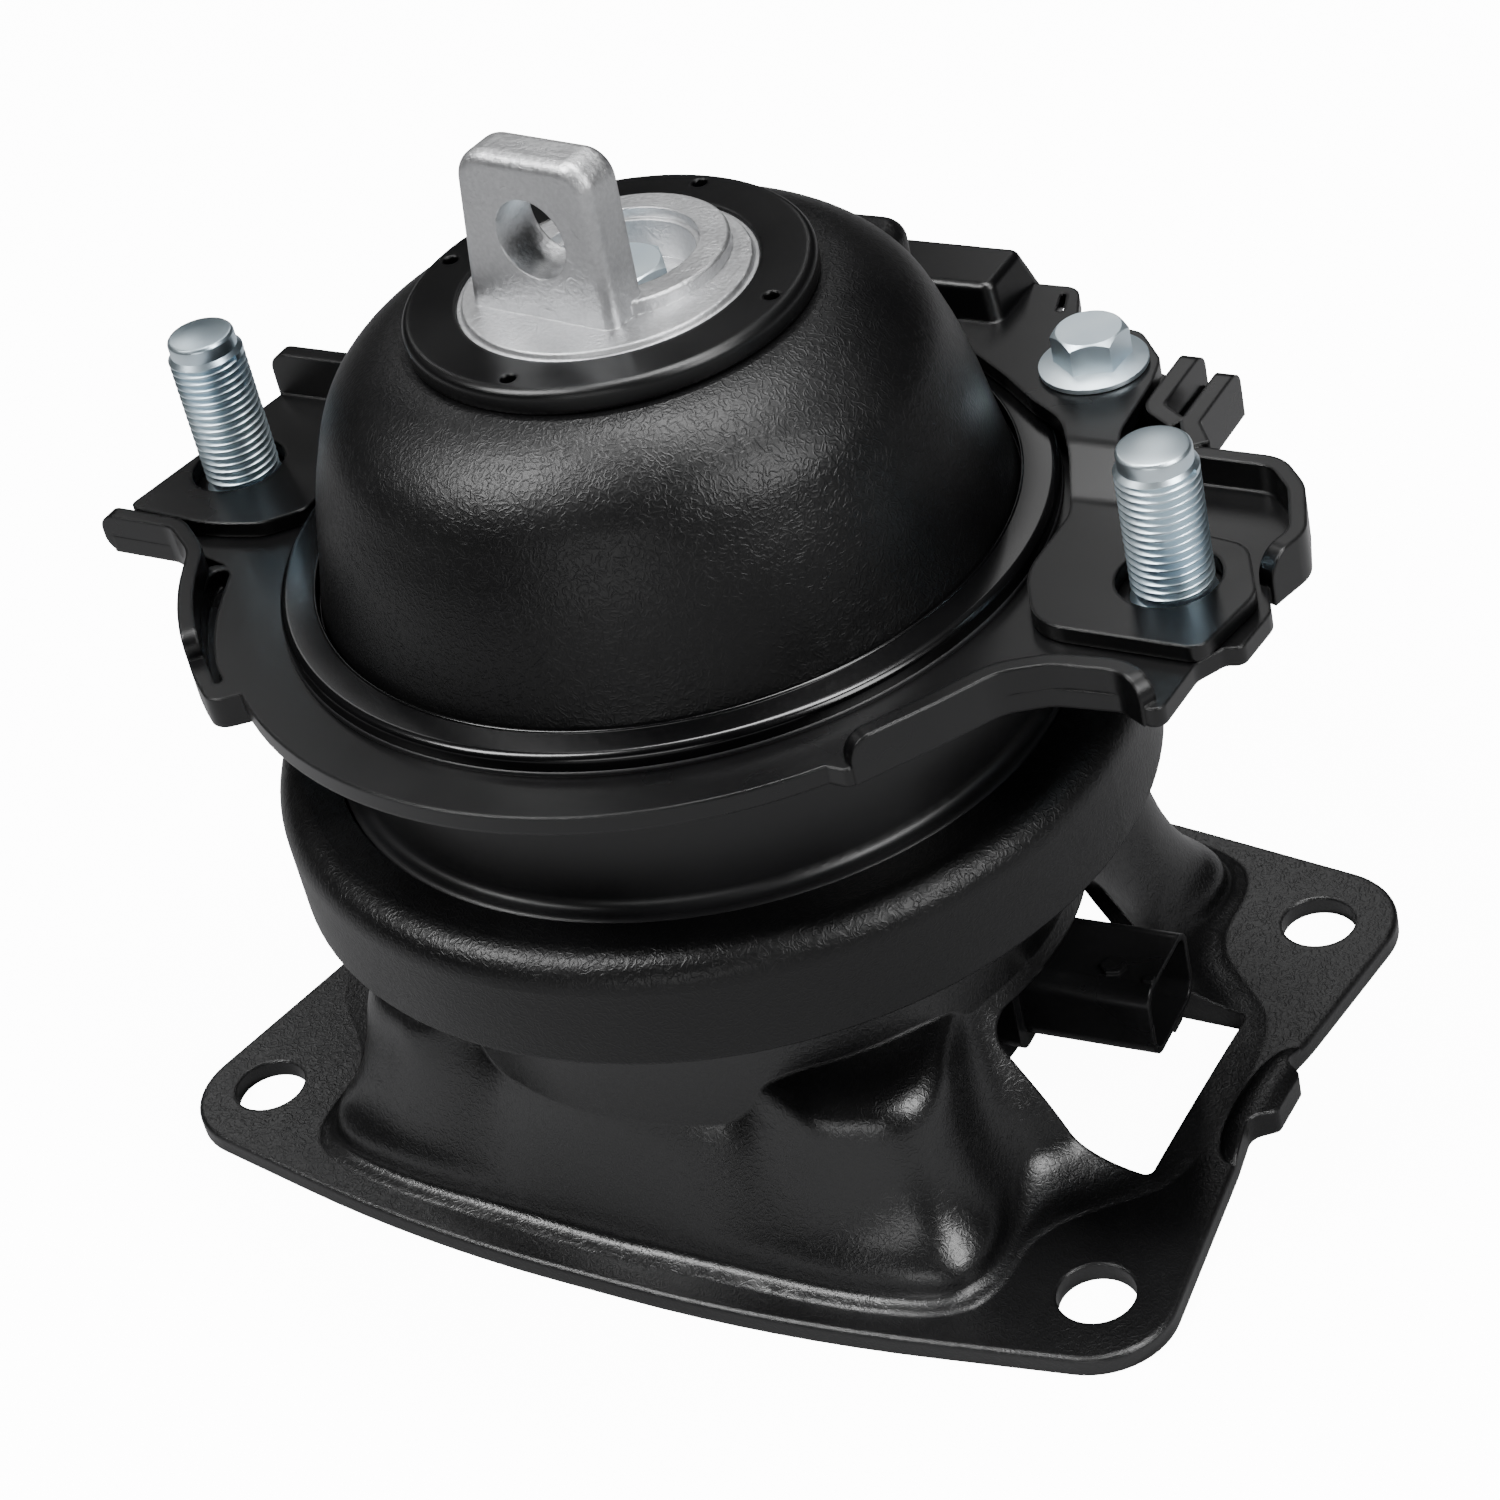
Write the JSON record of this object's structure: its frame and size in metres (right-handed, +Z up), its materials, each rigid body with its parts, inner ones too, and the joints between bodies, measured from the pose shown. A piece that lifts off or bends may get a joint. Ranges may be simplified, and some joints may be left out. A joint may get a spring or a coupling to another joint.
{
  "type": "engine mount",
  "caption": "Hydraulic engine mount on a stamped pedestal base, with a bonded rubber dome, a top lug, stud wings and an electrical connector.",
  "frame": {"origin": "centre of the base bolt pattern, on the mount's axis, at the underside of the base plate", "axes": "+Z up along the mount's axis, +X towards the electrical connector, -Y towards the front with the lug's flat face"},
  "size_m": [0.189, 0.1403, 0.1676],
  "materials": {
    "base_coat": "black baked coat with a fine wrinkle",
    "bracket_coat": "smooth semi-gloss black coat",
    "can_coat": "satin black coat",
    "housing_steel": "black phosphated steel",
    "rubber_skin": "moulded black rubber with a fine grain",
    "inner_rubber": "moulded black rubber",
    "zinc": "bright zinc plate with a bluish tint",
    "cast_alloy": "cast and blasted, faint scratches",
    "plate_alloy": "machined",
    "plug_plastic": "satin moulded plastic",
    "bobbin_plastic": "moulded natural plastic",
    "tinned_brass": "tinned brass",
    "copper": "enamelled copper wire",
    "core_iron": "soft iron, machined",
    "spring_steel": "rolled spring steel",
    "bronze": "sintered bronze"
  },
  "bodies": {
    "root": {"base_plate": "base_coat", "actuator_can": "can_coat", "connector_housing": "plug_plastic", "connector_terminals": "tinned_brass", "lower_housing": "housing_steel", "rubber_sleeve": "rubber_skin", "neck_housing": "housing_steel", "bracket_ring": "bracket_coat", "stud_yoke": "bracket_coat", "stud_left": "zinc", "stud_right": "zinc", "spacer_bush": "zinc", "flange_bolt": "zinc", "weld_nut": "zinc", "crimp_ring": "bracket_coat", "rubber_dome": "rubber_skin", "top_washer": "bracket_coat", "core": "cast_alloy", "core_bolt": "zinc", "core_insert": "spring_steel", "main_rubber": "inner_rubber", "outer_ring": "housing_steel", "upper_orifice_plate": "plate_alloy", "lower_orifice_plate": "plate_alloy", "decoupler_membrane": "inner_rubber", "seal_ring": "inner_rubber", "diaphragm": "inner_rubber", "diaphragm_ring": "housing_steel", "actuator_yoke": "core_iron", "coil_bobbin": "bobbin_plastic", "coil_winding": "copper", "armature": "core_iron", "leaf_spring": "spring_steel", "guide_bush": "bronze", "drive_rod": "spring_steel"}
  },
  "joints": []
}
